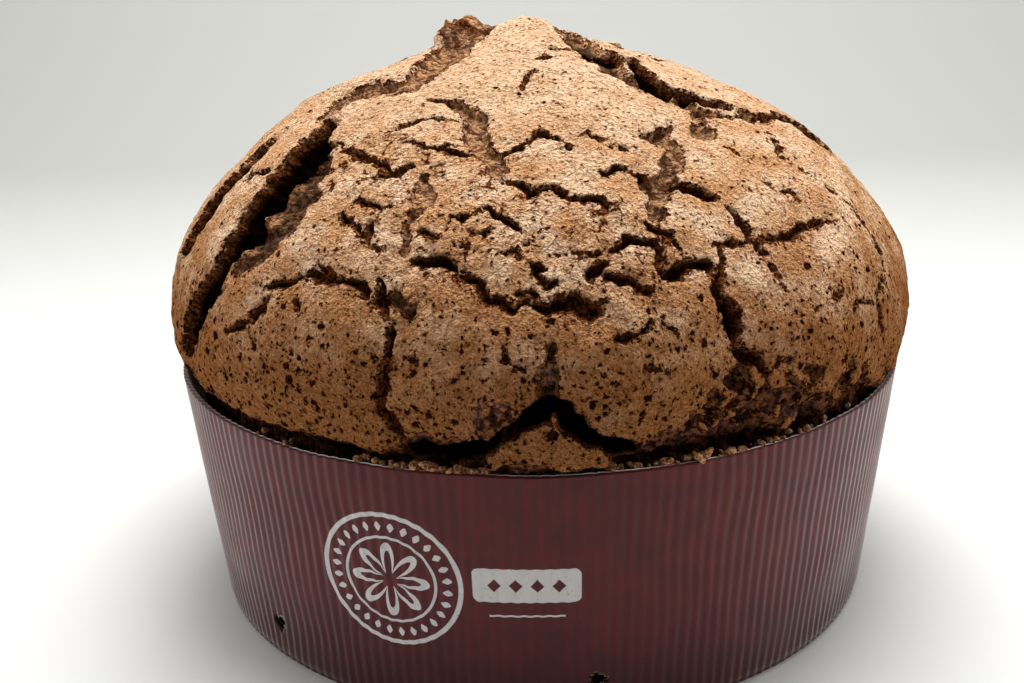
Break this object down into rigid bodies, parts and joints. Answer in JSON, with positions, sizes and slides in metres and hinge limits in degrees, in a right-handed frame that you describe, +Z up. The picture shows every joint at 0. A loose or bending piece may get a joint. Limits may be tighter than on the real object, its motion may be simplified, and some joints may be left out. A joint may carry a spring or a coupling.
{
  "type": "panettone",
  "caption": "Low chocolate panettone with a peaked dome of pale crust split into plates over dark crumb, in a fluted dark red paper baking case.",
  "frame": {"origin": "middle of the flat underside of the paper case", "axes": "+Z up through the peak of the dome; -Y towards the front, which is the side with the printed plate; +X to the right of the front"},
  "size_m": [0.2108, 0.2119, 0.1628],
  "materials": {
    "crust": "matte, pitted baked crust with bare dark crumb in the splits",
    "paper": "coated dark red baking paper with a soft sheen"
  },
  "bodies": {
    "root": {"cake": "crust", "paper_case": "paper"}
  },
  "joints": []
}
